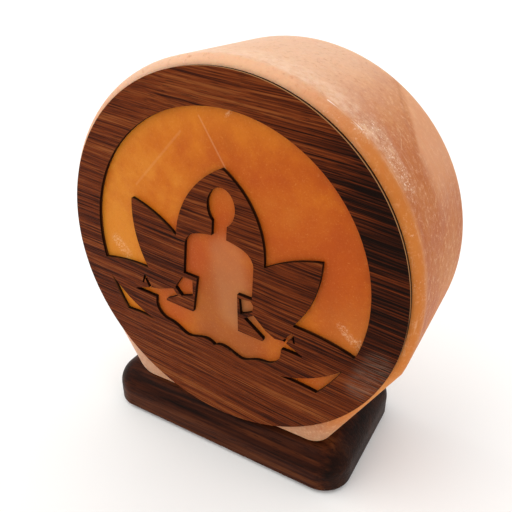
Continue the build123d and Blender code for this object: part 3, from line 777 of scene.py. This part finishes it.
def blown_glass():
    """Thin clear glass with slow ripples."""
    material, tree, place = new_material("soda_glass_blown")
    ripple = add_node(tree, "TexNoise", {"Vector": place, "Scale": 1 / 9, "Detail": 1.0})
    rough = where(tree, (ripple, 0.3, 0.7), share=0.04)
    finish_surface(tree, "#FFFFFF", rough, ripple, depth=0.1, Transmission_Weight=1.0, IOR=1.52)
    return material


phenolic = moulded("phenolic_black_moulded", "#161413", 0.32)           # deep black with a soft gloss
black_nylon = moulded("nylon_black_moulded", "#1B1B1C", 0.45)           # black and half dull
grey_nylon = moulded("nylon_grey_moulded", "#8E9094", 0.5)              # a plain light grey
rubber = moulded("rubber_soft_moulded", "#1E1D1C", 0.75, size=0.5, depth=0.08)      # dull, with a rough skin
black_glass = moulded("black_glass_pressed", "#0C0B0D", 0.12, size=2.0)             # black with a sharp gloss
glass = blown_glass()
print("moulded and blown:", [m.name for m in (phenolic, black_nylon, grey_nylon, rubber, black_glass, glass)])

# %% [markdown]
# ## Painting the small pieces
#
# Every piece that is left gets its material from one table, which reads as a list of what the lamp is
# made of. The cap, the shell and the filament are painted too, though finer pieces take their place
# further down.

# %% Paint the small pieces
for name, material in {
    "holder_body": phenolic, "holder_shell": brass, "centre_contact": brass, "clip_bracket": steel,
    "clip_left": steel, "clip_right": steel, "cord_bushing": black_nylon, "bracket_screws": zinc,
    "terminal_blocks": brass, "terminal_screws": zinc, "base_screws": zinc, "screw_anchors": grey_nylon,
    "foot_pads": rubber, "foot_contact": solder, "cap_insulator": black_glass, "bulb_cap": brass,
    "bulb_glass": glass, "glass_stem": glass, "lead_wires": nickel, "filament": tungsten,
}.items():
    paint(name, material)

# %% [markdown]
# ## Pieces built from points
#
# Three pieces have a form too fine for the imported solids: the threads of the cap and of the shell, and
# the coil of the filament. A Screw modifier could turn a profile, but it can't let a thread fade in and
# out. Here a piece is a list of points and faces, which can follow any formula. One function makes it an
# object, ties it to the body that it moves with, and hides the imported piece that it stands for.

# %% A built piece
def mesh_piece(name, points, faces, material, body, slot, replaced):
    """Adds a built piece in millimetres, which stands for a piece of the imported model."""
    mesh = bpy.data.meshes.new(name)
    mesh.from_pydata([tuple(v / MM for v in point) for point in points], [], faces)
    mesh.polygons.foreach_set("use_smooth", [True] * len(mesh.polygons))
    mesh.materials.append(material)
    piece = bpy.data.objects.new(name, mesh)
    bpy.context.scene.collection.objects.link(piece)
    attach(piece, body)
    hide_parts(replaced)
    print("built", name, "with", len(faces), "faces")


print("made", mesh_piece.__name__)

# %% [markdown]
# ## Threads of the cap and the shell
#
# The screw cap of a small bulb is pressed from thin brass, and its thread is a soft wave with a lead of
# 2.822 mm. The shell in the holder carries the same wave, a little wider, so that the cap can turn in
# it. Both are outlines turned round the bulb's axis, and a wave in their radius climbs as they go
# round. The two waves are in step, so they stay in step as the bulb turns and rises together.

# %% Turned pieces
LEAD = 2.822            # millimetres that the thread climbs in one turn


def turned_piece(outline, steps=72, notch=(0.0, 0.0)):
    """Turns an outline of (radius, level, depth of thread) round the axis. Gives points and faces.

    An outline that doesn't start on the axis is closed. A notch, as a half width and a height, is cut
    into its lower edge at the front and at the back.
    """
    half_width, height = notch
    points, rings = [], []
    for number, (radius, level, depth) in enumerate(outline):
        lower_edge = number in (0, len(outline) - 1)
        ring = []
        for step in range(steps if radius else 1):
            angle = 2 * pi * step / steps
            reach = radius - depth + depth * cos(2 * pi * level / LEAD - angle)
            x, y = reach * cos(angle), reach * sin(angle)
            lifted = height if lower_edge and abs(x) < half_width else 0.0
            ring.append(len(points))
            points.append((x, y, level + lifted))
        rings.append(ring)
    starts_on_axis = outline[0][0] == 0.0
    if not starts_on_axis:
        rings.append(rings[0])
    faces = []
    for low, high in zip(rings, rings[1:]):
        for step in range(steps):
            corners = [low[step % len(low)], low[(step + 1) % steps % len(low)],
                       high[(step + 1) % steps % len(high)], high[step % len(high)]]
            faces.append(list(dict.fromkeys(corners)))
    return points, faces


def wavy_wall(low, high, radius, thread_low, thread_high, depth=0.3, spacing=0.25):
    """Levels up one side of a wall. The thread fades in and out over a millimetre."""
    count = round((high - low) / spacing)
    wall = []
    for number in range(count + 1):
        level = low + (high - low) * number / count
        share = max(0.0, min(1.0, level - thread_low, thread_high - level))
        wall.append((radius, level, depth * share))
    return wall


print("a turn of the thread climbs", LEAD, "mm")

# %% [markdown]
# ### The cap of the bulb
#
# The cap is a cup with a chamfered bottom. Its upper part holds the glass and has no thread. The outline
# runs from the axis out along the bottom, up the outside, down the inside and back to the axis, so the
# thin brass has two sides, and its rim shows its thickness.

# %% Threaded cap
cap_low, cap_high = (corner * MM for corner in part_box("bulb_cap"))
radius, bottom, top = cap_high.x, cap_low.z, cap_high.z
cap_wall = 0.3
chamfer = 0.6
thread = (bottom + 0.8, top - 6.9)          # its lowest and its highest level

outside = wavy_wall(bottom + chamfer, top, radius, *thread)
inside = wavy_wall(bottom + chamfer, top, radius - cap_wall, *thread)
bottom_outside = [(0.0, bottom, 0.0), (radius - chamfer, bottom, 0.0)]
bottom_inside = [(radius - chamfer - cap_wall, bottom + cap_wall, 0.0), (0.0, bottom + cap_wall, 0.0)]
cap_outline = bottom_outside + outside + inside[::-1] + bottom_inside
mesh_piece("threaded_cap", *turned_piece(cap_outline), brass, "bulb", "brass_cap", "bulb_cap")

# %% [markdown]
# ### The shell of the holder
#
# The shell is an open tube round the cap. It stands on two feet, with a gap 10 mm wide and 0.5 mm high
# at the front and at the back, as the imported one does. A Boolean could cut the gap, but raising the
# points of the lower edge there keeps the mesh clean.

# %% Threaded shell
shell_low, shell_high = (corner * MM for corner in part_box("holder_shell"))
radius, bottom, top = shell_high.x, shell_low.z, shell_high.z
shell_wall = 0.35
thread = (bottom + 1.5, top - 0.5)
gap_between_feet = (5.0, 0.5)

outside = wavy_wall(bottom, top, radius, *thread)
inside = wavy_wall(bottom, top, radius - shell_wall, *thread)
shell = turned_piece(outside + inside[::-1], notch=gap_between_feet)
mesh_piece("threaded_shell", *shell, brass, "holder", "brass", "holder_shell")

# %% [markdown]
# ## The filament
#
# The filament is a fine coil of tungsten wire, hung in a low arch between the two lead-in wires. A
# curve with a round bevel would do, but one function that lays a thin tube along a helix keeps it as
# plain points and faces, like the threads. The wire is drawn 0.09 mm thick, which is several times its
# real thickness, and with 46 turns, because a finer coil wouldn't show.

# %% Coiled filament
def coiled_arch(low, high, turns=46, coil_radius=0.15, wire_radius=0.045, sides=5, per_turn=12):
    """A coil along a low arch in the XZ plane. Gives points and faces."""
    end_gap = 0.1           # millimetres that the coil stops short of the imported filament's ends
    half = high.x - end_gap
    rise = (high.z - low.z) - 2 * (coil_radius + wire_radius)
    helix = []
    for step in range(turns * per_turn + 1):
        share = 2 * step / (turns * per_turn) - 1
        angle = 2 * pi * step / per_turn
        middle = Vector((half * share, 0.0, low.z + coil_radius + wire_radius + rise * (1 - share ** 2)))
        outward = Vector((2 * rise * share / half, 0.0, 1.0)).normalized()
        helix.append(middle + coil_radius * (cos(angle) * outward + sin(angle) * Vector((0, 1, 0))))
    points, faces = [], []
    for number, wire in enumerate(helix):
        ahead = helix[min(number + 1, len(helix) - 1)] - helix[max(number - 1, 0)]
        across = ahead.cross(Vector((1, 0, 0))).normalized()
        other = ahead.cross(across).normalized()
        for side in range(sides):
            turn = 2 * pi * side / sides
            points.append(wire + wire_radius * (cos(turn) * across + sin(turn) * other))
    for number in range(len(helix) - 1):
        for side in range(sides):
            here = number * sides + side
            beside = number * sides + (side + 1) % sides
            faces.append((here, here + sides, beside + sides, beside))
    first_end = tuple(range(sides))
    last_end = tuple(range(len(points) - 1, len(points) - 1 - sides, -1))
    return points, faces + [first_end, last_end]


arch = coiled_arch(*(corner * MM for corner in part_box("filament")))
mesh_piece("coiled_filament", *arch, tungsten, "bulb", "tungsten", "filament")
